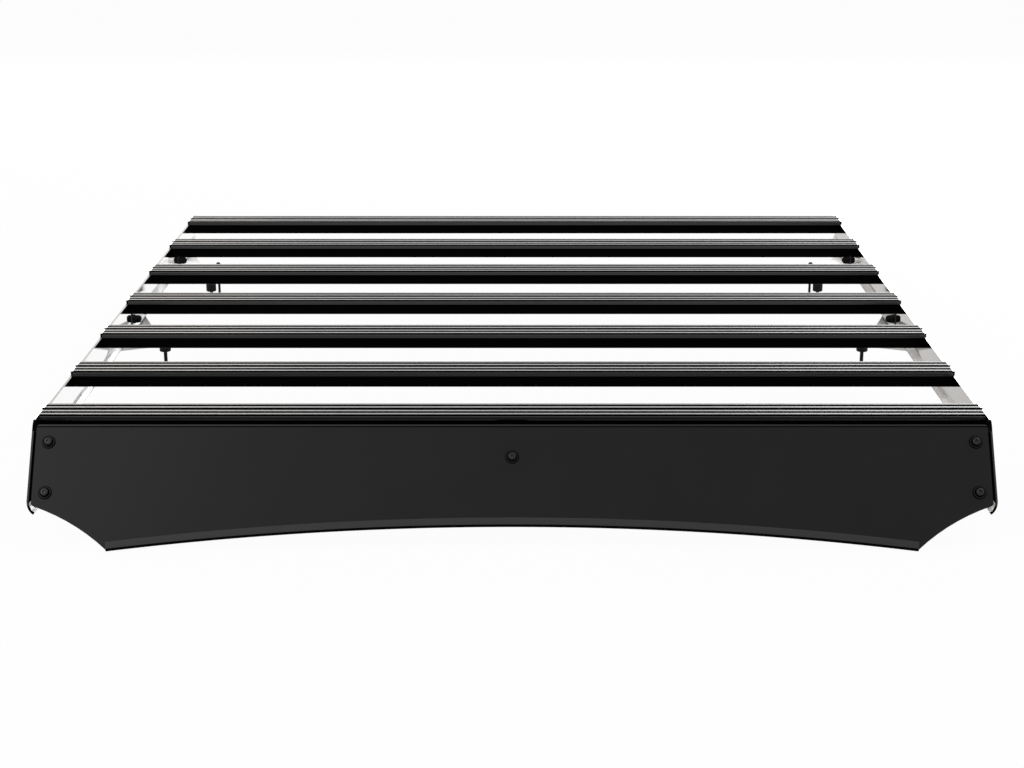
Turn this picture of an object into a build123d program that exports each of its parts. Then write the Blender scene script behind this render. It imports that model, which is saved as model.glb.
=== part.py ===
from build123d import *
from math import cos, radians, sin, tan
import os

os.makedirs("parts", exist_ok=True)

# Flat platform roof rack in millimetres: +X right, +Y to the rear, +Z up, standing on Z = 0.
# The fairing is at the front, towards -Y. X = 0 is the middle plane.

# Platform
slat_count = 7
slat_pitch = 200
inside_width = 1246

# Slat section, symmetric about the middle of its deck and measured down from its top
slat_width = 48.2
slat_height = 24.8
ridge_width = 6.4
groove_depth = 3.4
slot_neck_width = 9.3
slot_lip = 3.2
slot_width = 16
slot_depth = 10.2
lip_reach = 4.2
lip_top = 1.8
lip_bottom = 7
lip_groove_width = 2.7
deck_thickness = 6
web_width = 43.2
slat_wall = 2
hollow_width = 8.6
under_neck_width = 8.5
under_slot_lip = 2.5
under_slot_width = 15
under_slot_depth = 9.8

# Side rails, bent from sheet with a curled lower edge
rail_sheet = 3
rail_depth = 53
curl_radius = 17.5
curl_angle = 65
rail_tail = 80
tail_radius = 24
tab_height = 6
tab_reach = 2
nose_depth = 105.4
nose_round = 18
nose_run_end = 60
nose_ramp_end = 190

# Front fairing, measured down its slope from its top edge
fairing_lean = 34.5
fairing_ahead = 26
fairing_drop = 5.5
fairing_sheet = 2.5
fairing_side_gap = 2.8
fairing_corner = 4
fairing_side = 108.5
skirt_half_width = 520
skirt_drop = 167
skirt_side_radius = 280
arch_drop = 135
trim_wall = 1.5
trim_height = 10

# Fairing brackets
bracket_sheet = 3
bracket_face_width = 32
bracket_face_inset = 0.4
bracket_top = 10
bracket_bottom = 101.5
bracket_leg_depth = 32
bracket_leg_bottom = 64
bracket_corner = 5
centre_bracket_width = 40
centre_bracket_bottom = 62
centre_bracket_bend = 6

# Feet, placed from slat 1 and drawn from the axis of their mount bolts
foot_stations = {"front": 540, "rear": 1011}
foot_sheet = 3
foot_clearance = 0.5
foot_bend_radius = 3
flange_front = 45
flange_rear = 95
flange_top_drop = 19.5
flange_corner = 8
foot_tail = 194
foot_slant = 19.5
foot_nose_inset = 75
foot_nose_radius = 17
foot_nose_shift = -4
foot_inner_round = 8
foot_bolt_offsets = {"front": 44, "rear": -19}
foot_bolt_drop = 27.5
mount_bolt_inset = 67
spacer_radius = 9
spacer_lengths = {"front": 12, "rear": 33}
mount_bolt_drop = 126
rod_inset = 82
rod_radius = 2.4
rod_drop = 98
rod_cap_radius = 4
rod_cap_rise = 18
rod_cap_chamfer = 2

# Bolts of the feet
hole_clearance = 0.3
m6_radius = 3
m6_shank_radius = 2.6
m6_run_out = 1
m6_across = 10
m6_head_height = 4
m8_radius = 4
m8_across = 13
m8_head_height = 5.3
m8_spacer_across = 11
m8_spacer_lengths = {"front": 7, "rear": 12}
m8_washer_radius = 9.5
m8_washer_sheet = 1.6
m8_nut_height = 6.5
m8_cap_radius = 6.2
m8_cap_height = 8.5
m8_cap_chamfer = 3

# Places worked out from the sizes above
lean = radians(fairing_lean)
down_slope = skirt_drop + trim_wall
deck = (fairing_drop + down_slope * cos(lean)
        + (fairing_sheet + trim_wall) * sin(lean))
reach_ahead = fairing_ahead + down_slope * sin(lean) + trim_wall * cos(lean)
reach_behind = (slat_count - 1) * slat_pitch + rail_tail
first_slat = (reach_ahead - reach_behind) / 2
rail_end = first_slat + reach_behind
rail_inner = inside_width / 2
rail_outer = rail_inner + rail_sheet
foot_outer = rail_outer + foot_sheet
foot_plate_top = deck - rail_depth - foot_clearance
foot_plate_bottom = foot_plate_top - foot_sheet
fairing_half = rail_inner - fairing_side_gap
mount_bolt_x = rail_inner - mount_bolt_inset
rod_x = rail_inner - rod_inset
foot_nose_x = rail_inner - foot_nose_inset

# The fairing's front face: local x is X, local y runs up the slope, local z points ahead
fairing_face = Plane(
    origin=(0, first_slat - fairing_ahead, deck - fairing_drop),
    x_dir=(1, 0, 0),
    z_dir=(0, -cos(lean), sin(lean)),
)
fairing_back = fairing_face.offset(-fairing_sheet)

# Where a rectangle hangs from or stands on its place
high = (Align.CENTER, Align.MAX)
low = (Align.CENTER, Align.MIN)


def keep(piece, name):
    """Label a finished piece and write its file."""
    piece.label = name
    export_step(piece, f"parts/{name}.step")


def keep_pair(piece, name, place=""):
    """Write a right-hand piece and its mirror image."""
    keep(piece, f"{place}right_{name}")
    with BuildPart() as mirrored:
        mirror(piece, about=Plane.YZ)
    keep(mirrored.part, f"{place}left_{name}")


def side_plane(x):
    """Upright plane at x that faces right, with local x along Y and local y along Z."""
    return Plane(origin=(x, 0, 0), x_dir=(0, 1, 0), z_dir=(1, 0, 0))


def slat_middle(number):
    """Y of the middle of a slat, counted from 0 at the fairing."""
    return first_slat + number * slat_pitch + slat_width / 2


def drill(plane, points, radius, depth):
    """Round holes into the piece, from a plane and against its normal."""
    with BuildSketch(plane) as holes:
        with Locations(*points):
            Circle(radius)
    extrude(holes.sketch, amount=-depth, mode=Mode.SUBTRACT)


def stack_disc(seat, rise, radius, height):
    """Disc on a fastener's axis, from a height above its seat."""
    with BuildSketch(seat.offset(rise)) as disc:
        Circle(radius)
    extrude(disc.sketch, amount=height)


def stack_hexagon(seat, rise, across, height):
    """Hexagon on a fastener's axis, from a height above its seat."""
    with BuildSketch(seat.offset(rise)) as hexagon:
        RegularPolygon(across / 2, 6, major_radius=False)
    extrude(hexagon.sketch, amount=height)


# Cross slats: extrusions with a T-slot in the deck, another underneath and a hollow on each side


def cut_t_slot(middle, top):
    """T-slot of the deck, cut into a sketch at the middle of a slat."""
    with Locations((middle, top)):
        Rectangle(slot_neck_width, slot_depth, align=high, mode=Mode.SUBTRACT)
    with Locations((middle, top - slot_lip)):
        Rectangle(slot_width, slot_depth - slot_lip, align=high, mode=Mode.SUBTRACT)


def draw_slat_section():
    """Section of a slat, drawn from the middle of its top."""
    groove_width = (slat_width - slot_neck_width) / 2 - 2 * ridge_width
    groove_middle = (slot_neck_width + groove_width) / 2 + ridge_width
    lip_groove_middle = (slat_width + lip_groove_width) / 2
    hollow_middle = (web_width - hollow_width) / 2 - slat_wall
    Rectangle(slat_width, deck_thickness, align=high)
    with Locations((0, -lip_top)):
        Rectangle(slat_width + 2 * lip_reach, lip_bottom - lip_top, align=high)
    with Locations((0, -lip_bottom)):
        Rectangle(web_width, slat_height - lip_bottom, align=high)
    for side in (-1, 1):
        with Locations((side * groove_middle, 0)):
            Rectangle(groove_width, groove_depth, align=high, mode=Mode.SUBTRACT)
        with Locations((side * lip_groove_middle, -lip_top)):
            Rectangle(lip_groove_width, groove_depth, align=high, mode=Mode.SUBTRACT)
        with Locations((side * hollow_middle, -deck_thickness)):
            Rectangle(hollow_width, slat_height - slat_wall - deck_thickness, align=high,
                      mode=Mode.SUBTRACT)
    cut_t_slot(0, 0)
    with Locations((0, -slat_height)):
        Rectangle(under_neck_width, under_slot_depth, align=low, mode=Mode.SUBTRACT)
    with Locations((0, -slat_height + under_slot_lip)):
        Rectangle(under_slot_width, under_slot_depth - under_slot_lip, align=low, mode=Mode.SUBTRACT)


for number in range(slat_count):
    slat_end = Plane(origin=(0, slat_middle(number), deck), x_dir=(0, 1, 0), z_dir=(1, 0, 0))
    with BuildPart() as slat:
        with BuildSketch(slat_end):
            draw_slat_section()
        extrude(amount=rail_inner, both=True)
    keep(slat.part, f"slat_{number + 1}")

# Side rails: a sheet with a dropped nose, curled inwards along its lower edge. Tabs on its top edge
# close the ends of the slats, with the T-slots left open so that T-bolts slide in from the side.
nose_front = first_slat - reach_ahead
ramp_start = first_slat + nose_run_end
ramp_end = first_slat + nose_ramp_end
curl_drop = curl_radius * sin(radians(curl_angle))
low_edge = deck - nose_depth + curl_drop
high_edge = deck - rail_depth + curl_drop
ramp_middle = ((ramp_start + ramp_end) / 2, (low_edge + high_edge) / 2)
rail_top = deck - tab_height
foot_bolt_places = {
    place: (first_slat + station + foot_bolt_offsets[place], deck - foot_bolt_drop)
    for place, station in foot_stations.items()
}


def draw_lower_edge():
    """Line along which the curl starts, from the nose to the tail."""
    nose_run = Line((nose_front, low_edge), (ramp_start, low_edge))
    lower_bend = TangentArc(nose_run @ 1, ramp_middle, tangent=nose_run % 1)
    upper_bend = TangentArc(lower_bend @ 1, (ramp_end, high_edge), tangent=lower_bend % 1)
    return Line(upper_bend @ 1, (rail_end - tail_radius, high_edge))


with BuildPart() as rail:
    with BuildSketch(side_plane(rail_inner)):
        with BuildLine():
            main_run = draw_lower_edge()
            tail = TangentArc(main_run @ 1, (rail_end, high_edge + tail_radius), tangent=main_run % 1)
            Polyline(tail @ 1, (rail_end, rail_top), (nose_front, rail_top), (nose_front, low_edge))
        make_face()
        with Locations((first_slat, deck)):
            Rectangle(reach_ahead, tab_height, align=(Align.MAX, Align.MAX))
        for number in range(slat_count):
            with Locations((slat_middle(number) - tab_reach / 2, deck)):
                Rectangle(slat_width + tab_reach, tab_height, align=high)
            cut_t_slot(slat_middle(number), deck)
    extrude(amount=rail_sheet)
    with BuildLine(side_plane(rail_inner)) as curl_path:
        draw_lower_edge()
    with BuildSketch(Plane(origin=(0, nose_front, 0), x_dir=(1, 0, 0), z_dir=(0, -1, 0))):
        curl_middle = rail_outer - curl_radius
        with BuildLine():
            outer = CenterArc((curl_middle, low_edge), curl_radius, -curl_angle, curl_angle)
            inner = CenterArc((curl_middle, low_edge), curl_radius - rail_sheet, -curl_angle, curl_angle)
            Line(outer @ 0, inner @ 0)
            Line(outer @ 1, inner @ 1)
        make_face()
    sweep(path=curl_path.wires()[0])
    split(bisect_by=fairing_face, keep=Keep.BOTTOM)
    fillet(rail.edges().filter_by(Axis.X).group_by(Axis.Z)[-1].sort_by(Axis.Y)[0], nose_round)
    drill(side_plane(rail_outer), foot_bolt_places.values(), m8_radius + hole_clearance, rail_sheet)
keep_pair(rail.part, "rail")

# Front fairing: a flat sheet with hollowed lower sides, an arched lower edge and an edge trim
with BuildPart() as fairing_panel:
    with BuildSketch(fairing_face) as fairing_outline:
        with BuildLine():
            top = Line((0, 0), (fairing_half, 0))
            edge = Line(top @ 1, (fairing_half, -fairing_side))
            hollow = RadiusArc(edge @ 1, (skirt_half_width, -skirt_drop), -skirt_side_radius)
            arch = ThreePointArc(hollow @ 1, (0, -arch_drop), (-skirt_half_width, -skirt_drop))
            other_hollow = RadiusArc(arch @ 1, (-fairing_half, -fairing_side), -skirt_side_radius)
            Polyline(other_hollow @ 1, (-fairing_half, 0), top @ 0)
        make_face()
        by_side = fairing_outline.vertices().group_by(Axis.X)
        fillet(by_side[0] + by_side[-1], fairing_corner)
    extrude(amount=-fairing_sheet)
keep(fairing_panel.part, "fairing_panel")

with BuildPart() as fairing_edge_trim:
    with BuildSketch(fairing_face.offset(trim_wall)):
        with BuildLine():
            low = ThreePointArc(
                (skirt_half_width, -skirt_drop - trim_wall),
                (0, -arch_drop - trim_wall),
                (-skirt_half_width, -skirt_drop - trim_wall),
            )
            high = ThreePointArc(
                (skirt_half_width, -skirt_drop - trim_wall + trim_height),
                (0, -arch_drop - trim_wall + trim_height),
                (-skirt_half_width, -skirt_drop - trim_wall + trim_height),
            )
            Line(low @ 0, high @ 0)
            Line(low @ 1, high @ 1)
        make_face()
    extrude(amount=-(fairing_sheet + 2 * trim_wall))
    add(fairing_panel.part, mode=Mode.SUBTRACT)
keep(fairing_edge_trim.part, "fairing_edge_trim")

# Brackets that carry the fairing: an angle on each rail and a bent strip under the first slat
with BuildPart() as fairing_bracket:
    with BuildSketch(fairing_back):
        with Locations((rail_inner - bracket_face_inset, -bracket_top)):
            Rectangle(bracket_face_width, bracket_bottom - bracket_top, align=(Align.MAX, Align.MAX))
    extrude(amount=-bracket_sheet)
    with BuildSketch(fairing_back):
        with Locations((rail_inner, -bracket_top)):
            Rectangle(bracket_sheet, bracket_leg_bottom - bracket_top, align=(Align.MAX, Align.MAX))
    extrude(amount=-bracket_leg_depth)
    through_sheet = Axis(fairing_face.origin, fairing_face.z_dir)
    inner_corners = fairing_bracket.edges().filter_by(through_sheet).group_by(Axis.X)[0]
    fillet(inner_corners, bracket_corner)
keep_pair(fairing_bracket.part, "fairing_bracket")

strip_middle = deck - slat_height - bracket_sheet / 2
strip_rear = slat_middle(0) + web_width / 2
strip_slope = fairing_back.offset(-bracket_sheet / 2)
slope_low = strip_slope.from_local_coords((0, -centre_bracket_bottom, 0))
bend_ahead = (slope_low.Z - strip_middle) * tan(lean)

with BuildPart() as centre_fairing_bracket:
    with BuildSketch(side_plane(0)):
        with BuildLine() as strip_line:
            FilletPolyline(
                (strip_rear, strip_middle),
                (slope_low.Y - bend_ahead, strip_middle),
                (slope_low.Y, slope_low.Z),
                radius=centre_bracket_bend,
            )
        trace(strip_line.line, bracket_sheet)
    extrude(amount=centre_bracket_width / 2, both=True)
keep(centre_fairing_bracket.part, "centre_fairing_bracket")

# Feet: a plate under each rail with an upright flange outside it and a nose for the mount bolt


def foot_plate(station):
    """Plan of a right-hand foot plate: a long slanted rear edge and a rounded nose."""
    slant = tan(radians(foot_slant))
    nose_back = foot_nose_shift + foot_nose_radius
    nose_front_edge = foot_nose_shift - foot_nose_radius
    slant_x = foot_outer - (foot_tail - nose_back) * slant
    with BuildSketch(Plane.XY.offset(foot_plate_bottom)) as plan:
        with BuildLine():
            rear_edge = Polyline(
                (foot_outer, station + foot_tail),
                (slant_x, station + nose_back),
                (foot_nose_x, station + nose_back),
            )
            nose = ThreePointArc(
                rear_edge @ 1,
                (foot_nose_x - foot_nose_radius, station + foot_nose_shift),
                (foot_nose_x, station + nose_front_edge),
            )
            Polyline(
                nose @ 1,
                (slant_x, station + nose_front_edge),
                (rail_inner, station - flange_front),
                (foot_outer, station - flange_front),
                rear_edge @ 0,
            )
        make_face()
        neck_corners = [corner for corner in plan.vertices() if abs(corner.X - slant_x) < foot_clearance]
        fillet(neck_corners, foot_inner_round)
    return plan.sketch


for place, offset in foot_stations.items():
    station = first_slat + offset
    plate_top = Plane.XY.offset(foot_plate_top)
    with BuildPart() as foot:
        extrude(foot_plate(station), amount=foot_sheet)
        with BuildSketch(side_plane(rail_outer)) as flange:
            with Locations((station - flange_front, foot_plate_bottom)):
                flange_height = deck - flange_top_drop - foot_plate_bottom
                Rectangle(flange_front + flange_rear, flange_height, align=(Align.MIN, Align.MIN))
            fillet(flange.vertices().group_by(Axis.Y)[-1], flange_corner)
        extrude(amount=foot_sheet)
        bend = foot.edges().filter_by(Axis.Y).group_by(Axis.Z)[0].sort_by(Axis.X)[-1]
        fillet(bend, foot_bend_radius)
        drill(side_plane(foot_outer), [foot_bolt_places[place]], m8_radius + hole_clearance, foot_sheet)
        drill(plate_top, [(mount_bolt_x, station)], m6_radius + hole_clearance, foot_sheet)
        if place == "rear":
            drill(plate_top, [(rod_x, station)], rod_radius + hole_clearance, foot_sheet)
    keep_pair(foot.part, "foot", f"{place}_")

# Bolts through the flanges and the rails, with a hexagonal spacer, a washer and a cap nut inside
with BuildPart() as foot_bolts:
    for place, (y, z) in foot_bolt_places.items():
        seat = Plane(origin=(foot_outer, y, z), x_dir=(0, 1, 0), z_dir=(1, 0, 0))
        nut_seat = -(foot_sheet + rail_sheet + m8_spacer_lengths[place] + m8_washer_sheet)
        stack_hexagon(seat, 0, m8_across, m8_head_height)
        stack_disc(seat, 0, m8_radius, nut_seat)
        stack_hexagon(seat, nut_seat + m8_washer_sheet, m8_spacer_across, m8_spacer_lengths[place])
        stack_disc(seat, nut_seat, m8_washer_radius, m8_washer_sheet)
        stack_hexagon(seat, nut_seat, m8_across, -m8_nut_height)
        stack_disc(seat, nut_seat - m8_nut_height, m8_cap_radius, -m8_cap_height)
        chamfer(foot_bolts.edges(Select.LAST).sort_by(Axis.X)[0], m8_cap_chamfer)
keep_pair(foot_bolts.part, "foot_bolts")

# Spacers under the feet, and the mount bolts that run down through them
with BuildPart() as spacers:
    for place, offset in foot_stations.items():
        with BuildSketch(Plane(origin=(mount_bolt_x, first_slat + offset, foot_plate_bottom))):
            Circle(spacer_radius)
            Circle(m6_radius + hole_clearance, mode=Mode.SUBTRACT)
        extrude(amount=-spacer_lengths[place])
keep_pair(spacers.part, "spacers")

with BuildPart() as mount_bolts:
    for place, offset in foot_stations.items():
        seat = Plane(origin=(mount_bolt_x, first_slat + offset, foot_plate_top))
        stud_top = -(foot_sheet + spacer_lengths[place] + m6_run_out)
        stud_tip = deck - mount_bolt_drop - foot_plate_top
        stack_hexagon(seat, 0, m6_across, m6_head_height)
        stack_disc(seat, 0, m6_shank_radius, stud_top)
        stack_disc(seat, stud_top, m6_radius, stud_tip - stud_top)
keep_pair(mount_bolts.part, "mount_bolts")

# Long threaded rod beside each rear mount bolt, with a cap nut above the plate
with BuildPart() as level_rod:
    seat = Plane(origin=(rod_x, first_slat + foot_stations["rear"], foot_plate_top))
    stack_disc(seat, 0, rod_cap_radius, rod_cap_rise)
    chamfer(level_rod.edges().group_by(Axis.Z)[-1], rod_cap_chamfer)
    stack_disc(seat, 0, rod_radius, deck - rod_drop - foot_plate_top)
keep_pair(level_rod.part, "level_rod", "rear_")
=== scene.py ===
import bmesh
import bpy
from math import asin, ceil, cos, pi, radians, sin, tau
from mathutils import Matrix, Vector


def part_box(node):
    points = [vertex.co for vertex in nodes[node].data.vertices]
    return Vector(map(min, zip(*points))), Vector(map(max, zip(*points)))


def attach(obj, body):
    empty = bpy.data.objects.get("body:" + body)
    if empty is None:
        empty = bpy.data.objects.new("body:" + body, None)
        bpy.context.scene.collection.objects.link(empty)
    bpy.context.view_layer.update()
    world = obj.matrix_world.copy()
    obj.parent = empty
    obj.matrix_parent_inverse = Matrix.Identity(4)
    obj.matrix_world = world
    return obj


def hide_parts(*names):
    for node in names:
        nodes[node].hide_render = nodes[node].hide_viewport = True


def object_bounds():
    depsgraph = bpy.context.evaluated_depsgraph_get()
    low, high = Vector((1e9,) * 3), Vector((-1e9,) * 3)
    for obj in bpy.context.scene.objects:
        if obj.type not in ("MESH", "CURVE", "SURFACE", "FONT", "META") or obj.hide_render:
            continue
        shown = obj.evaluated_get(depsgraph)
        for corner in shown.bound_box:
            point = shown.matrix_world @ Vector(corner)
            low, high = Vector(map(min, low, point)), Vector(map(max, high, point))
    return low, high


# Looks of the flat platform roof rack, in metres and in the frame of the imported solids:
# +X right, +Y to the rear, +Z up, the fairing at the front.
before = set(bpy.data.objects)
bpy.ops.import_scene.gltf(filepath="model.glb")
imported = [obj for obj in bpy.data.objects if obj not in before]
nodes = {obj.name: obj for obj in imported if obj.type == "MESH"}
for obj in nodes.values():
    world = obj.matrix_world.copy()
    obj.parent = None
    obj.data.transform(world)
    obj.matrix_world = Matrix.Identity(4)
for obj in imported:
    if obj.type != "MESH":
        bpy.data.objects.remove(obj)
cad_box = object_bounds()
MM = 0.001

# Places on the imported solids
slat_names = [f"slat_{number}" for number in range(1, 8)]
slat_low, slat_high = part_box("slat_1")
lip_reach = 4.2 * MM
slat_edge = slat_low[1] + lip_reach
slat_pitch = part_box("slat_2")[0][1] - slat_low[1]
deck = slat_high[2]
rail_inner = slat_high[0]
rail_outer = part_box("right_rail")[1][0]
rail_sheet = rail_outer - rail_inner
foot_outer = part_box("rear_right_foot")[1][0]
fairing_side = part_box("fairing_panel")[1][0]

# Fairing, brackets and edge trim, as the part's source has them
fairing_lean = radians(34.5)
fairing_ahead = 26 * MM
fairing_drop = 5.5 * MM
fairing_sheet = 2.5 * MM
bracket_sheet = 3 * MM
arch_half_width = 520 * MM
arch_drop = 135 * MM
arch_rise = 32 * MM
arch_reach = (arch_half_width ** 2 + arch_rise ** 2) / (2 * arch_rise)
trim_wall = 1.5 * MM
trim_height = 10 * MM

# Edge trim as it shows: its front lip is higher than the source's, and its edges are rounded
trim_back_lip = trim_height - trim_wall
trim_front_lip = 10.5 * MM
trim_round = 1.1 * MM

# Places of the screws
side_screw_x = rail_inner - 20 * MM
side_screw_drops = (24 * MM, 91.8 * MM)
centre_screw_drop = 44 * MM
bracket_screw_drops = (22 * MM, 52 * MM)
bracket_screw_depth = 20 * MM
under_slot_setback = 24.1 * MM
slat_screw_drop = 13.5 * MM
slat_screw_setbacks = (8.8 * MM, 39.4 * MM)

# Sizes of the screws, nuts and washers
m6_radius = 3 * MM
m6_pitch = 1 * MM
m6_across = 10 * MM
m8_across = 13 * MM
nut_height = 5 * MM
m8_collar_radius = 6.1 * MM
washer_sheet = 1.6 * MM
washer_soft = 0.3 * MM
shadow_seal_sheet = 0.5 * MM
shadow_spring_sheet = 1.2 * MM

# Feet, with their bolts, spacers and rods
foot_stations = {"front": 540 * MM, "rear": 1011 * MM}
foot_sheet = 3 * MM
foot_bolt_offsets = {"front": 44 * MM, "rear": -19 * MM}
foot_bolt_drop = 27.5 * MM
foot_spacer_lengths = {"front": 7 * MM, "rear": 12 * MM}
foot_collar_length = 7 * MM
foot_bush_radius = 5.4 * MM
plate_drop = 53.5 * MM
plate_top = deck - plate_drop
plate_bottom = plate_top - foot_sheet
mount_bolt_inset = 67 * MM
mount_bolt_drop = 126 * MM
spacer_lengths = {"front": 12 * MM, "rear": 33 * MM}
spacer_radius = 9 * MM
spacer_bore = 3.3 * MM
spacer_soft = 0.8 * MM
rod_inset = 82 * MM
rod_drop = 98 * MM
rod_radius = 2.4 * MM
rod_pitch = 0.8 * MM
rod_cap_radius = 4 * MM
rod_cap_rise = 18 * MM

# Where painted shade turns the slats flat black: from each slat's edge, with a lead ahead of it, or below
# the deck
slat_lead = 20 * MM
groove_start = -2.8 * MM
groove_end = 51 * MM
ridge_depth = 0.3 * MM
lip_depth = 7.6 * MM

# Where the rails' finish and their painted shade change: below the deck, ahead of the first slat, or out
# from the inner face
rail_top_depth = 8 * MM
tab_depth = 2 * MM
nose_wall_depth = 93 * MM
nose_corner_depth = 13 * MM
nose_start = 5 * MM
nose_rim = 0.6 * MM

# Where painted shade and painted highlight fall on the fairing, the brackets and the trim: in from the
# sides, down the slope, or in from the arch
fairing_painted_shade_side = 0.2 * MM
bracket_painted_shade_side = 3 * MM
painted_highlight_depth = 2.3 * MM
painted_shade_line_depth = 1.6 * MM
trim_painted_shade_edge = 1 * MM

# Rounding of the solids' edges, by finish
soft_edges = {
    "slat": 0.7 * MM,
    "rail": 0.6 * MM,
    "fairing": 0.5 * MM,
    "bracket": 0.5 * MM,
    "foot": 0.5 * MM,
}

# Turns that count as edges, and distances that count as none
soft_edge_angle = radians(40)
sharp_angle = radians(32)
weld_reach = 0.01 * MM
merge_reach = 0.001 * MM
level_reach = 0.0001 * MM

# Floor: half its side, and the share of it that shows plain white
floor_reach = 30
floor_glow = 0.96

# Light of the world on the rack, where 1 is white
world_light = 0.55

# Camera, measured from the front top edge of the first slat
camera_across = 9.9 * MM
camera_ahead = 2402.5 * MM
camera_above = 778.5 * MM
camera_pitch = radians(17.05)
camera_sensor = 36
camera_lens = 67.41
camera_shift = -0.00764
camera_range = 100


# Shader maths


class Wire:
    """An output socket of a node tree. Arithmetic on wires adds Math nodes."""

    def __init__(self, tree, socket=None):
        self.tree = tree
        self.socket = socket

    def node(self, kind, settings=None, inputs=None, output=0):
        """Add a node, set it up, fill its sockets, and return one of its outputs."""
        made = self.tree.nodes.new(kind)
        for key, value in (settings or {}).items():
            setattr(made, key, value)
        for key, value in (inputs or {}).items():
            if isinstance(value, Wire):
                self.tree.links.new(value.socket, made.inputs[key])
            else:
                made.inputs[key].default_value = value
        return Wire(self.tree, made.outputs[output] if made.outputs else None)

    def math(self, operation, first, second=0.0):
        return self.node("ShaderNodeMath", {"operation": operation}, {0: first, 1: second})

    def __add__(self, other):
        return self.math("ADD", self, other)

    def __radd__(self, other):
        return self.math("ADD", other, self)

    def __sub__(self, other):
        return self.math("SUBTRACT", self, other)

    def __rsub__(self, other):
        return self.math("SUBTRACT", other, self)

    def __mul__(self, other):
        return self.math("MULTIPLY", self, other)

    def __rmul__(self, other):
        return self.math("MULTIPLY", other, self)

    def __gt__(self, other):
        return self.math("GREATER_THAN", self, other)

    def __lt__(self, other):
        return self.math("LESS_THAN", self, other)

    def __abs__(self):
        return self.math("ABSOLUTE", self)

    def either(self, other):
        """Where one mask or the other is set."""
        return self.math("MAXIMUM", self, other)

    def both(self, other):
        """Where two masks are set."""
        return self.math("MINIMUM", self, other)

    def parts(self):
        """X, Y and Z of a vector."""
        made = self.node("ShaderNodeSeparateXYZ", None, {0: self}).socket.node
        return [Wire(self.tree, out) for out in made.outputs]

    def noise(self, place, scale, detail=2.0):
        """Soft noise from 0 to 1; scale is in patches per metre."""
        inputs = {"Vector": place, "Scale": scale, "Detail": detail}
        return self.node("ShaderNodeTexNoise", None, inputs)

    def stretched(self, place, scale):
        """A place scaled along its axes, which draws a pattern out where the scale is small."""
        return self.node("ShaderNodeMapping", None, {"Vector": place, "Scale": scale})

    def blend(self, share, first, second):
        """Colour between two colours; the numbers are the node's colour sockets."""
        return self.node("ShaderNodeMix", {"data_type": "RGBA"}, {0: share, 6: first, 7: second}, 2)


def grey(tone, warm=0.0):
    """A grey colour, a little warmer or cooler."""
    return (tone * (1 + warm), tone, tone * (1 - warm), 1)


def new_finish(name):
    """An empty material and a wire to build its nodes from."""
    finish = bpy.data.materials.new(name)
    finish.use_nodes = True
    finish.node_tree.nodes.clear()
    return finish, Wire(finish.node_tree)


def surface(start, inputs):
    """A principled shader with these sockets."""
    return start.node("ShaderNodeBsdfPrincipled", None, inputs)


def show(start, shader):
    """Make a shader the surface of its material."""
    start.node("ShaderNodeOutputMaterial", None, {"Surface": shader})


def bump(start, height, distance):
    """A bumped normal; distance is the height of the relief in metres."""
    inputs = {"Height": height, "Distance": distance, "Strength": 1.0}
    return start.node("ShaderNodeBump", None, inputs)


def object_place(start):
    """Where a point of the surface lies."""
    return start.node("ShaderNodeTexCoord", output="Object")


def object_facing(start):
    """Which way the surface faces, as a vector of length 1."""
    return start.node("ShaderNodeTexCoord", output="Normal")


def shown(start):
    """1 for what the camera sees directly, in a mirror or through glass."""
    rays = ("Is Camera Ray", "Is Glossy Ray", "Is Transmission Ray")
    seen, mirrored, through = [start.node("ShaderNodeLightPath", output=ray) for ray in rays]
    return seen.either(mirrored).either(through)


def either_skin(start, share, first, second):
    """One shader where share is 0 and another where it is 1."""
    return start.node("ShaderNodeMixShader", None, {0: share, 1: first, 2: second})


def painted_shade_black(start, grain):
    """Painted shade: flat black that hardly shines, put where recesses and gaps fall into shade."""
    return surface(start, {
        "Base Color": start.blend(grain, grey(0.0008), grey(0.0016)),
        "Roughness": 0.55 + grain * 0.1,
        "Specular IOR Level": 0.01,
    })


# Finishes


def up_fairing(along, height):
    """Height up the fairing's slope, from its top edge."""
    ahead = along - (slat_edge - fairing_ahead)
    return ahead * sin(fairing_lean) + (height - (deck - fairing_drop)) * cos(fairing_lean)


def powder_coat(name, tone, specular, roughness, painted_shade_from, painted_top_edge=0.0, grain=900.0, relief=0.04 * MM):
    """Black powder coat with a fine grain, with painted shade in flat black beside the rails;
    painted_top_edge adds a painted highlight along its top edge and a painted shade line below it.
    """
    finish, start = new_finish(name)
    place = object_place(start)
    across, along, height = place.parts()
    upslope = up_fairing(along, height)
    # Painted highlight: a band along the top edge in a tone 3.4 times paler, with a painted shade line in
    # flat black just below it.
    rim = (upslope > -painted_highlight_depth) * painted_top_edge
    painted_shade_line = (upslope < -painted_highlight_depth).both(upslope > -painted_highlight_depth - painted_shade_line_depth) * painted_top_edge
    peel = start.noise(place, grain, 3.0)
    cloud = start.noise(place, 14.0)
    colour = start.blend(cloud, grey(tone * 0.75), grey(tone * 1.3))
    coat = surface(start, {
        "Base Color": start.blend(rim, colour, grey(tone * 3.4)),
        "Roughness": roughness - 0.05 + cloud * 0.06 + peel * 0.05,
        "Specular IOR Level": specular,
        "Normal": bump(start, peel, relief),
    })
    # Painted shade: flat black along the sides, in the gap beside the rails.
    painted_shade_share = (abs(across) > painted_shade_from).either(painted_shade_line)
    show(start, either_skin(start, painted_shade_share, coat, painted_shade_black(start, peel)))
    return finish


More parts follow.
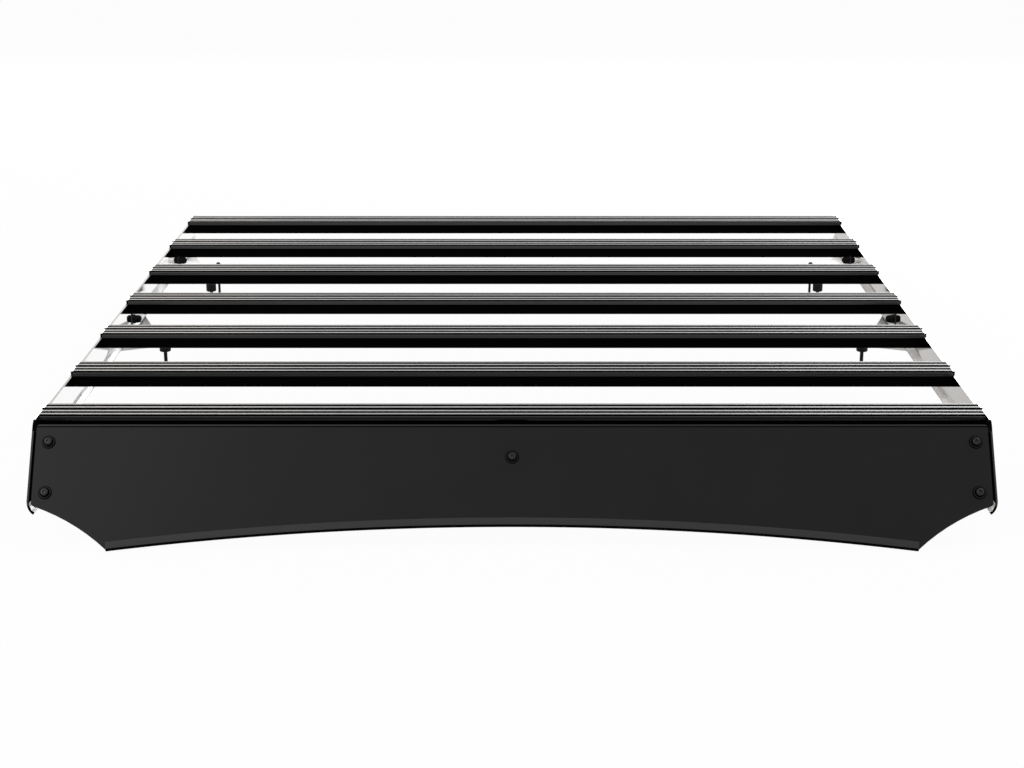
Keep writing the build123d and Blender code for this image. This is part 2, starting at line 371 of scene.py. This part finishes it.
def slat_coat():
    """Slat coat: satin, with painted shade in flat black on the front web below the lip and in the grooves
    of each slat.
    """
    finish, start = new_finish("slat_coat")
    place = object_place(start)
    along, height = place.parts()[1:]
    facing_along, facing_up = object_facing(start).parts()[1:]
    turned_away = (facing_along > 0.3).either(facing_up < -0.5)
    from_edge = start.math("MODULO", along - (slat_edge - slat_lead), slat_pitch) - slat_lead
    in_groove = (height < deck - ridge_depth).both(from_edge > groove_start).both(from_edge < groove_end)
    # Painted shade: the web below the lip and the groove faces turn flat black, except faces turned to the
    # back or down.
    painted_shade = (height < deck - lip_depth).either(in_groove).both(1 - turned_away)
    peel = start.noise(place, 700.0, 3.0)
    cloud = start.noise(place, 11.0)
    satin = surface(start, {
        "Base Color": start.blend(cloud, grey(0.006), grey(0.011)),
        "Roughness": 0.26 + cloud * 0.05 + peel * 0.08,
        "Specular IOR Level": 0.5,
        "Normal": bump(start, peel, 0.05 * MM),
    })
    show(start, either_skin(start, painted_shade, satin, painted_shade_black(start, peel)))
    return finish


def rail_zones(start, place):
    """Masks of the rails' surfaces, from where they lie and which way they face."""
    across, along, height = place.parts()
    facing_across, facing_along, facing_up = object_facing(start).parts()
    outward = facing_across * start.math("SIGN", across)
    outside = (outward > 0.35).either(facing_up < -0.3)
    cut_end = facing_along < -0.35
    coated = outside.either(cut_end)
    wall = abs(facing_across) > 0.95
    top_edge = (facing_up > 0.9).both(height > deck - rail_top_depth)
    nose = along < slat_edge - nose_start
    # Painted shade: the inner wall in the nose, the inner rim of the cut ends and their top corner turn flat
    # black.
    nose_wall = nose.both(height > deck - nose_wall_depth).both(1 - coated.either(top_edge))
    nose_corner = cut_end.both(height > deck - nose_corner_depth)
    inner_rim = cut_end.both(abs(across) < rail_inner + nose_rim)
    right = across > 0
    curl = 1 - wall.either(top_edge)
    right_curl = right.both(curl)
    return {
        "coated": coated,
        "cut_end": cut_end,
        "painted_shade": nose_wall.either(inner_rim).either(nose_corner),
        "nose": nose,
        "wall": wall,
        "right_wall": right.both(wall),
        "right_curl": right_curl,
        "dull_curl": right_curl.either(curl.both(abs(facing_across) > 0.8)),
        "left_top": top_edge.both(height < deck - tab_depth).both(1 - right),
    }


def rail_sheet_finish():
    """Rail sheet: pale inside and along its top edge, black outside and on its cut ends; painted shade turns
    it flat black in the nose and greyer on the right rail's inner wall and curl and on the left rail's top
    edge below the tabs.
    """
    finish, start = new_finish("rail_sheet_finish")
    place = object_place(start)
    zones = rail_zones(start, place)
    brushed = start.noise(start.stretched(place, (1, 0.03, 1)), 900.0)
    peel = start.noise(place, 900.0, 3.0)
    cloud = start.noise(place, 9.0)
    # Painted shade: the right rail's inner wall gets a darker warm grey than the left one, the left rail's
    # top edge below the tabs a dark grey, and the right rail's curl a greyer tone than the left's.
    bright = start.blend(zones["right_wall"] * (0.92 + cloud * 0.16), grey(0.96), grey(0.32, 0.06))
    bright = start.blend(zones["left_top"], bright, grey(0.13, 0.05))
    pale = surface(start, {
        "Base Color": start.blend(zones["right_curl"] * (0.85 + cloud * 0.3), bright, grey(0.8, 0.04)),
        "Metallic": 1 - (zones["dull_curl"] * 0.9).both(1 - zones["nose"] * 0.5),
        "Roughness": 0.36 - zones["wall"] * 0.31 + brushed * 0.04,
        "Normal": bump(start, brushed, 0.008 * MM),
    })
    black = surface(start, {
        "Base Color": start.blend(zones["cut_end"] * (0.8 + cloud * 0.4), grey(0.01), grey(0.024)),
        "Roughness": 0.4 + peel * 0.1,
        "Specular IOR Level": 0.25,
        "Normal": bump(start, peel, 0.04 * MM),
    })
    sheet = either_skin(start, zones["coated"], pale, black)
    show(start, either_skin(start, zones["painted_shade"], sheet, painted_shade_black(start, peel)))
    return finish


def foot_plate_finish():
    """Foot plates: zinc with soft spangle; painted light makes them paler under the rear slats and ahead of
    the front bolts, and the flanges are paler as well.
    """
    finish, start = new_finish("foot_plate_finish")
    place = object_place(start)
    across, along = place.parts()[:2]
    flange = abs(across) > rail_inner
    between_feet = slat_edge + (foot_stations["front"] + foot_stations["rear"]) / 2
    rear = (along > between_feet).both(1 - flange)
    ahead = (along < slat_edge + foot_stations["front"]).both(1 - flange)
    spangle = start.node("ShaderNodeTexVoronoi", None, {"Vector": place, "Scale": 260.0})
    cloud = start.noise(place, 30.0, 3.0)
    # Painted light: the same zinc is made paler under the rear slats and ahead of the front bolts; the
    # flanges are paler as well.
    tone = spangle * 0.15 + cloud * 0.15 + rear.either(ahead) * 0.7 + flange * 0.35
    show(start, surface(start, {
        "Base Color": start.blend(tone, grey(0.08, 0.02), grey(0.97, 0.01)),
        "Metallic": 0.5 + (rear - ahead) * 0.4,
        "Roughness": 0.3 + cloud * 0.2,
        "Normal": bump(start, spangle, 0.01 * MM),
    }))
    return finish


def trim_rubber():
    """Edge trim: matt rubber with a fine grain and faint drawing lines, with painted shade in flat black
    along its lower edge.
    """
    finish, start = new_finish("trim_rubber")
    place = object_place(start)
    across, along, height = place.parts()
    from_centre = up_fairing(along, height) + (arch_drop + arch_reach)
    radius = start.math("SQRT", across * across + from_centre * from_centre)
    # Painted shade: the lower edge of the channel turns flat black.
    painted_shade_edge = radius < arch_reach + trim_painted_shade_edge
    grain = start.noise(place, 1500.0)
    drawn = start.noise(start.stretched(place, (0.02, 1, 1)), 700.0)
    rubber = surface(start, {
        "Base Color": start.blend(drawn, grey(0.014), grey(0.02)),
        "Roughness": 0.55 + grain * 0.15,
        "Specular IOR Level": 0.35,
        "Normal": bump(start, grain + drawn, 0.03 * MM),
    })
    show(start, either_skin(start, painted_shade_edge, rubber, painted_shade_black(start, grain)))
    return finish


def black_oxide(name, tone, roughness, specular):
    """Blackened steel: dark with a faint oily sheen and tiny specks."""
    finish, start = new_finish(name)
    place = object_place(start)
    speck = start.noise(place, 1800.0, 3.0)
    cloud = start.noise(place, 160.0)
    show(start, surface(start, {
        "Base Color": start.blend(cloud, grey(tone * 0.7), grey(tone * 1.3)),
        "Roughness": roughness + speck * 0.15,
        "Specular IOR Level": specular,
        "Normal": bump(start, speck, 0.01 * MM),
    }))
    return finish


finishes = {
    "slat": slat_coat(),
    "rail": rail_sheet_finish(),
    "fairing": powder_coat(
        "fairing_coat", tone=0.0053, specular=0.165, roughness=0.42,
        painted_shade_from=fairing_side - fairing_painted_shade_side, painted_top_edge=1.0, grain=800.0, relief=0.02 * MM,
    ),
    "bracket": powder_coat(
        "bracket_coat", tone=0.008, specular=0.2, roughness=0.45,
        painted_shade_from=fairing_side - bracket_painted_shade_side,
    ),
    "foot": foot_plate_finish(),
    "trim": trim_rubber(),
    "bolt": black_oxide("bolt_black", tone=0.008, roughness=0.32, specular=0.3),
    "nut": black_oxide("nut_black", tone=0.003, roughness=0.45, specular=0.06),
    "spacer": black_oxide("spacer_black", tone=0.006, roughness=0.4, specular=0.12),
    # Painted shadow: near-black finish of the rings round the fairing's washers and screw heads.
    "shadow_seal": black_oxide("shadow_seal_black", tone=0.001, roughness=0.6, specular=0.01),
}


# Small shapes, each drawn about its own Z axis with its seat at 0


def spun(profile, steps, turns=1, pitch=0.0):
    """Skin swept about Z from (radius, height) points; with a pitch it climbs, as a thread does."""
    shape = bmesh.new()
    points = [shape.verts.new((out, 0, up)) for out, up in profile]
    lines = [shape.edges.new(pair) for pair in zip(points, points[1:])]
    bmesh.ops.spin(shape, geom=points + lines, cent=(0, 0, 0), axis=(0, 0, 1), dvec=(0, 0, pitch / steps),
                   angle=tau * turns, steps=steps * turns, use_merge=pitch == 0)
    bmesh.ops.remove_doubles(shape, verts=shape.verts, dist=merge_reach)
    return shape


def closed(shape):
    """Merge doubled points and turn the faces outwards."""
    bmesh.ops.remove_doubles(shape, verts=shape.verts, dist=merge_reach)
    bmesh.ops.recalc_face_normals(shape, faces=shape.faces)
    return shape


def turned(profile, steps=32):
    """Closed shape turned about Z from (radius, height) points."""
    return closed(spun(profile, steps))


def quarter_round(inner, outer, low, high, steps):
    """Points of a quarter of an ellipse, from (outer, low) to (inner, high)."""
    points = []
    for step in range(steps + 1):
        turn = pi / 2 * step / steps
        points.append((inner + (outer - inner) * cos(turn), low + (high - low) * sin(turn)))
    return points


def disc(radius, thickness):
    """Flat round plate."""
    return turned(((0, 0), (radius, 0), (radius, thickness), (0, thickness)))


def washer(radius):
    """Plain washer with softened rims."""
    return turned((
        (0, 0), (radius - washer_soft, 0), (radius, washer_soft), (radius, washer_sheet - washer_soft),
        (radius - washer_soft, washer_sheet), (0, washer_sheet),
    ))


def sleeve(radius, bore, length, soft):
    """Round spacer with a bore and softened rims, which runs down from 0."""
    return turned((
        (bore, 0), (radius - soft, 0), (radius, -soft), (radius, soft - length),
        (radius - soft, -length), (bore, -length), (bore, 0),
    ))


def domed(radius, rise, steps=6):
    """Round cap with a half ball as its end."""
    return turned([(0, 0), (radius, 0)] + quarter_round(0, radius, rise - radius, rise, steps))


def hexagon(across, height, chamfer):
    """Hexagonal head or nut with chamfered corners."""
    shape = bmesh.new()
    radius = across / 2 / cos(pi / 6)
    lift = Matrix.Translation((0, 0, height / 2))
    bmesh.ops.create_cone(shape, cap_ends=True, segments=6, radius1=radius, radius2=radius,
                          depth=height, matrix=lift)
    rims = [edge for edge in shape.edges if abs(edge.verts[0].co.z - edge.verts[1].co.z) < level_reach]
    bmesh.ops.bevel(shape, geom=rims, offset=chamfer, segments=2, profile=0.5, affect="EDGES",
                    material=-1)
    return closed(shape)


def socket_screw(radius, height, socket_across, socket_depth, steps=24):
    """Domed screw head with a hexagonal socket."""
    rim = radius * 0.62
    wall = height * 0.22
    shape = spun([(0, 0), (radius, 0)] + quarter_round(rim, radius, wall, height, 5), steps)
    mouth = [edge for edge in shape.edges if edge.is_boundary]
    for drop in (0.0, socket_depth):
        grown = bmesh.ops.extrude_edge_only(shape, edges=mouth)["geom"]
        mouth = [item for item in grown if isinstance(item, bmesh.types.BMEdge)]
        for point in {point for edge in mouth for point in edge.verts}:
            turn = Vector((1, 0)).angle_signed(point.co.xy) % (pi / 3) - pi / 6
            reach = socket_across / 2 / cos(turn)
            point.co.xy = point.co.xy.normalized() * reach
            point.co.z -= drop
    bmesh.ops.contextual_create(shape, geom=mouth)
    return closed(shape)


def threaded(radius, pitch, length, steps=20):
    """Threaded shank that runs down from 0."""
    root = radius - 0.6 * pitch
    low = -length - pitch
    ridge = ((root, 0), (radius, 0.4), (radius, 0.5), (root, 0.9), (root, 1))
    profile = [(out, low + share * pitch) for out, share in ridge]
    shape = spun(profile, steps, ceil(length / pitch) + 2, pitch)
    for height, side in ((0, 1), (-length, -1)):
        everything = shape.verts[:] + shape.edges[:] + shape.faces[:]
        cut = bmesh.ops.bisect_plane(shape, geom=everything, plane_co=(0, 0, height),
                                     plane_no=(0, 0, side), clear_outer=True)["geom_cut"]
        rim = [item for item in cut if isinstance(item, bmesh.types.BMEdge)]
        bmesh.ops.contextual_create(shape, geom=rim)
    return closed(shape)


# Places of small shapes, and pieces made from them


def seat(origin, normal):
    """Place of a small shape: its Z axis along a normal."""
    turn = Vector(normal).to_track_quat("Z", "Y").to_matrix().to_4x4()
    return Matrix.Translation(origin) @ turn


def shifted(place, rise):
    """The same place, moved along its own Z axis."""
    return place @ Matrix.Translation((0, 0, rise))


def put(piece, shape, places):
    """Add a copy of a small shape to a piece at each place."""
    for place in places:
        copy = shape.copy()
        bmesh.ops.transform(copy, matrix=place, verts=copy.verts)
        mesh = bpy.data.meshes.new("copy")
        copy.to_mesh(mesh)
        copy.free()
        piece.from_mesh(mesh)
        bpy.data.meshes.remove(mesh)


def finish_piece(name, shape, finish, slot, *replaced):
    """Turn a bmesh into a piece of the rack."""
    mesh = bpy.data.meshes.new(name)
    for face in shape.faces:
        face.smooth = True
    shape.to_mesh(mesh)
    shape.free()
    mesh.set_sharp_from_angle(angle=sharp_angle)
    mesh.materials.append(finishes[finish])
    piece = bpy.data.objects.new(name, mesh)
    bpy.context.scene.collection.objects.link(piece)
    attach(piece, "root")
    if replaced:
        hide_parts(*replaced)
    return piece


# Solids of the frame that stay: finish and softened edges


def dress(name, finish):
    """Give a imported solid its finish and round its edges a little."""
    node = nodes[name]
    for index in range(len(node.material_slots)):
        node.material_slots[index].material = finishes[finish]
    weld = node.modifiers.new("joined_faces", "WELD")
    weld.merge_threshold = weld_reach
    soft = node.modifiers.new("soft_edges", "BEVEL")
    soft.width = soft_edges[finish]
    soft.segments = 2
    soft.limit_method = "ANGLE"
    soft.angle_limit = soft_edge_angle


for slat_name in slat_names:
    dress(slat_name, "slat")
for side in ("left", "right"):
    dress(f"{side}_rail", "rail")
    dress(f"{side}_fairing_bracket", "bracket")
    for place in foot_stations:
        dress(f"{place}_{side}_foot", "foot")
dress("fairing_panel", "fairing")
dress("centre_fairing_bracket", "bracket")

# Fairing frame: X across, Y up the slope, Z out of its front face, origin at its top edge
fairing_frame = Matrix((
    (1, 0, 0, 0),
    (0, sin(fairing_lean), -cos(fairing_lean), slat_edge - fairing_ahead),
    (0, cos(fairing_lean), sin(fairing_lean), deck - fairing_drop),
    (0, 0, 0, 1),
))


def edge_trim(steps=64):
    """Rubber channel pushed over the arched lower edge of the fairing."""
    shape = bmesh.new()
    swing = asin(arch_half_width / arch_reach)
    back = -fairing_sheet - trim_wall
    outline = (
        (-trim_wall, trim_wall), (trim_front_lip, trim_wall), (trim_front_lip, 0), (0, 0),
        (0, -fairing_sheet), (trim_back_lip, -fairing_sheet), (trim_back_lip, back), (-trim_wall, back),
    )
    corners = [shape.verts.new((0, arch_reach + rise, out)) for rise, out in outline]
    shape.faces.new(corners)
    outer = corners[:2] + corners[6:]
    bmesh.ops.bevel(shape, geom=outer, offset=trim_round, segments=3, profile=0.5, affect="VERTICES",
                    material=-1)
    bmesh.ops.rotate(shape, verts=shape.verts, cent=(0, 0, 0), matrix=Matrix.Rotation(swing, 3, "Z"))
    section = shape.verts[:] + shape.edges[:] + shape.faces[:]
    bmesh.ops.spin(shape, geom=section, cent=(0, 0, 0), axis=(0, 0, -1), angle=2 * swing, steps=steps)
    bmesh.ops.translate(shape, verts=shape.verts, vec=(0, -arch_drop - arch_reach, 0))
    bmesh.ops.transform(shape, matrix=fairing_frame, verts=shape.verts)
    return closed(shape)


finish_piece("fairing_rubber_channel", edge_trim(), "trim", "trim_rubber", "fairing_edge_trim")

# M6 hardware of the fairing, the brackets and the slat ends
m6_head = socket_screw(radius=5.25 * MM, height=3.3 * MM, socket_across=4 * MM, socket_depth=1.8 * MM)
m6_washer = washer(radius=7.9 * MM)
m6_nut = hexagon(m6_across, nut_height, chamfer=0.6 * MM)
m6_tail = threaded(m6_radius, m6_pitch, length=8 * MM)
# Painted shadow: a near-black seal disc and spring ring show as dark rings round each washer and screw head.
washer_shadow_seal = disc(radius=8.9 * MM, thickness=shadow_seal_sheet)
spring_shadow_ring = disc(radius=6.5 * MM, thickness=shadow_spring_sheet)
turn_over = Matrix.Rotation(pi, 4, "X")


def fasten_fairing():
    """Five screws in the fairing: a black seal disc under the washer and a black spring ring under the head,
    whose rims are painted contact shadows, then washer and head in front, nut and thread behind.
    """
    spots = [(0, centre_screw_drop)]
    for side in (-1, 1):
        spots += [(side * side_screw_x, drop) for drop in side_screw_drops]
    seats = [fairing_frame @ Matrix.Translation((across, -drop, 0)) for across, drop in spots]
    on_shadow_seal = [shifted(place, shadow_seal_sheet) for place in seats]
    on_washer = [shifted(place, washer_sheet) for place in on_shadow_seal]
    on_shadow_spring = [shifted(place, shadow_spring_sheet) for place in on_washer]
    behind = [shifted(place, -fairing_sheet - bracket_sheet) for place in seats]
    shadow_seals = bmesh.new()
    put(shadow_seals, washer_shadow_seal, seats)
    put(shadow_seals, spring_shadow_ring, on_washer)
    finish_piece("fairing_shadow_seals", shadow_seals, "shadow_seal", "fastener_black")
    washers = bmesh.new()
    put(washers, m6_washer, on_shadow_seal)
    finish_piece("fairing_washers", washers, "fairing", "fairing_black")
    screws = bmesh.new()
    put(screws, m6_head, on_shadow_spring)
    put(screws, m6_nut, [place @ turn_over for place in behind])
    put(screws, m6_tail, behind)
    finish_piece("fairing_screws", screws, "bolt", "fastener_black")


def fasten_slats():
    """Two screws through the rail into each end of a slat."""
    screws = bmesh.new()
    for side in (-1, 1):
        for number in range(len(slat_names)):
            for setback in slat_screw_setbacks:
                along = slat_edge + number * slat_pitch + setback
                on_rail = (side * rail_outer, along, deck - slat_screw_drop)
                put(screws, m6_head, [seat(on_rail, (side, 0, 0))])
    finish_piece("slat_end_screws", screws, "bolt", "fastener_black")


def fasten_brackets():
    """Screws of the fairing's brackets: one under the first slat and two through each rail."""
    screws = bmesh.new()
    under_strip = seat((0, slat_edge + under_slot_setback, slat_low[2] - bracket_sheet), (0, 0, -1))
    on_washer = shifted(under_strip, washer_sheet)
    put(screws, m6_washer, [under_strip])
    put(screws, m6_nut, [on_washer])
    put(screws, m6_tail, [on_washer @ turn_over])
    for side in (-1, 1):
        outside = []
        for drop in bracket_screw_drops:
            on_leg = fairing_frame @ Vector((0, -drop, -fairing_sheet - bracket_screw_depth))
            outside.append(seat((side * rail_outer, on_leg.y, on_leg.z), (side, 0, 0)))
        inside = [shifted(place, -rail_sheet - bracket_sheet) for place in outside]
        put(screws, m6_head, outside)
        put(screws, m6_nut, [place @ turn_over for place in inside])
        put(screws, m6_tail, inside)
    finish_piece("bracket_screws", screws, "bolt", "fastener_black")


fasten_fairing()
fasten_slats()
fasten_brackets()

# Hardware of the feet
m6_bolt_head = hexagon(m6_across, height=4 * MM, chamfer=0.6 * MM)
m8_head = hexagon(m8_across, height=5.3 * MM, chamfer=0.7 * MM)
m8_washer = washer(radius=9.5 * MM)
m8_cap_nut = hexagon(m8_across, nut_height, chamfer=0.8 * MM)
m8_cap = domed(radius=6.2 * MM, rise=15 * MM)
m8_collar = turned((
    (0, 0), (3.6 * MM, 0), (5 * MM, 0.8 * MM), (5.8 * MM, 2.2 * MM), (m8_collar_radius, 4 * MM),
    (m8_collar_radius, foot_collar_length), (0, foot_collar_length),
))


def add_foot_bolt(bolts, bushes, side, place):
    """Bolt through a foot's flange and the rail: head outside; bush, collar, washer and cap nut inside."""
    along = slat_edge + foot_stations[place] + foot_bolt_offsets[place]
    outside = seat((side * foot_outer, along, deck - foot_bolt_drop), (side, 0, 0))
    inside = seat((side * rail_inner, along, deck - foot_bolt_drop), (-side, 0, 0))
    bush_length = foot_spacer_lengths[place] - foot_collar_length
    on_spacer = shifted(inside, foot_spacer_lengths[place])
    on_washer = shifted(on_spacer, washer_sheet)
    put(bolts, m8_head, [outside])
    put(bolts, m8_collar, [shifted(inside, bush_length)])
    put(bolts, m8_washer, [on_spacer])
    put(bolts, m8_cap_nut, [on_washer])
    put(bolts, m8_cap, [on_washer])
    if bush_length > 0:
        put(bushes, disc(foot_bush_radius, bush_length), [inside])


def add_roof_bolt(sleeves, roof_bolts, side, place):
    """Bolt that points down through a foot's plate, with a spacer below the plate."""
    across = side * (rail_inner - mount_bolt_inset)
    along = slat_edge + foot_stations[place]
    above = Matrix.Translation((across, along, plate_top))
    under = Matrix.Translation((across, along, plate_bottom))
    put(sleeves, sleeve(spacer_radius, spacer_bore, spacer_lengths[place], spacer_soft), [under])
    put(roof_bolts, m6_bolt_head, [above])
    put(roof_bolts, threaded(m6_radius, m6_pitch, mount_bolt_drop - plate_drop), [above])


def height_rod(side):
    """Threaded rod beside a rear roof bolt, with a domed cap above the plate."""
    rod = bmesh.new()
    along = slat_edge + foot_stations["rear"]
    above = Matrix.Translation((side * (rail_inner - rod_inset), along, plate_top))
    put(rod, domed(rod_cap_radius, rod_cap_rise), [above])
    put(rod, threaded(rod_radius, rod_pitch, rod_drop - plate_drop), [above])
    return rod


for name, side in (("left", -1), ("right", 1)):
    bolts = bmesh.new()
    bushes = bmesh.new()
    sleeves = bmesh.new()
    roof_bolts = bmesh.new()
    for place in foot_stations:
        add_foot_bolt(bolts, bushes, side, place)
        add_roof_bolt(sleeves, roof_bolts, side, place)
    bolt_set = finish_piece(f"{name}_foot_bolt_set", bolts, "nut", "fastener_black", f"{name}_foot_bolts")
    bolt_set.visible_glossy = False
    finish_piece(f"{name}_foot_bushes", bushes, "foot", "foot_sheet")
    finish_piece(f"{name}_spacer_sleeves", sleeves, "spacer", "spacer_black", f"{name}_spacers")
    finish_piece(f"{name}_roof_bolts", roof_bolts, "bolt", "fastener_black", f"{name}_mount_bolts")
    finish_piece(f"{name}_height_rod", height_rod(side), "bolt", "fastener_black", f"rear_{name}_level_rod")

# Floor, world, lamps and camera


def pale_stage():
    """Floor that shows white, with a soft trace of the rack's shadow."""
    finish, start = new_finish("pale_stage")
    chalk = start.node("ShaderNodeBsdfDiffuse", None, {"Color": grey(0.85)})
    glow = start.node("ShaderNodeEmission", None, {"Color": grey(1.0), "Strength": 1.0})
    show(start, either_skin(start, shown(start) * floor_glow, chalk, glow))
    return finish


floor_mesh = bpy.data.meshes.new("floor")
floor_shape = bmesh.new()
bmesh.ops.create_grid(floor_shape, x_segments=1, y_segments=1, size=floor_reach)
floor_shape.to_mesh(floor_mesh)
floor_shape.free()
floor_mesh.materials.append(pale_stage())
floor = bpy.data.objects.new("floor", floor_mesh)
floor.location.z = cad_box[0][2]
bpy.context.scene.collection.objects.link(floor)

world = bpy.data.worlds.new("studio")
bpy.context.scene.world = world
world.use_nodes = True
world.node_tree.nodes.clear()
sky = Wire(world.node_tree)
strength = shown(sky) * (1 - world_light) + world_light
backdrop = sky.node("ShaderNodeBackground", None, {"Color": grey(1.0), "Strength": strength})
sky.node("ShaderNodeOutputWorld", None, {"Surface": backdrop})


def soft_lamp(name, place, aim, width, height, power, colour=(1, 1, 1)):
    """Large soft lamp that points at a place on the rack."""
    lamp = bpy.data.lights.new(name, "AREA")
    lamp.color = colour
    lamp.shape = "RECTANGLE"
    lamp.size = width
    lamp.size_y = height
    lamp.energy = power
    holder = bpy.data.objects.new(name, lamp)
    holder.visible_camera = False
    holder.location = place
    holder.rotation_euler = (Vector(aim) - Vector(place)).to_track_quat("-Z", "Y").to_euler()
    bpy.context.scene.collection.objects.link(holder)


soft_lamp("key_lamp", (-2.4, -2.6, 2.8), aim=(-0.3, 0, 0.1), width=1.6, height=1.6, power=47)
soft_lamp("fill_lamp", (2.8, 1.0, 2.6), aim=(0, 0, 0.1), width=2.0, height=2.0, power=40)
soft_lamp("back_lamp", (0.2, 3.8, 1.5), aim=(0, 0, 0.1), width=5.4, height=2.0, power=50)
soft_lamp("right_back_lamp", (1.5, 3.6, 1.8), aim=(0.4, 0, 0.1), width=1.2, height=1.0, power=13)
soft_lamp("left_back_lamp", (-1.5, 3.6, 1.5), aim=(-0.4, 0, 0.1), width=1.2, height=1.4, power=6,
          colour=(1, 0.86, 0.72))

camera = bpy.data.objects.new("camera", bpy.data.cameras.new("camera"))
camera.data.sensor_width = camera_sensor
camera.data.sensor_fit = "HORIZONTAL"
camera.data.lens = camera_lens
camera.data.shift_x = camera_shift
camera.data.clip_end = camera_range
camera.location = (camera_across, slat_edge - camera_ahead, deck + camera_above)
camera.rotation_euler = (pi / 2 - camera_pitch, 0, 0)
bpy.context.scene.collection.objects.link(camera)
bpy.context.scene.camera = camera
bpy.context.scene.view_settings.view_transform = "Standard"
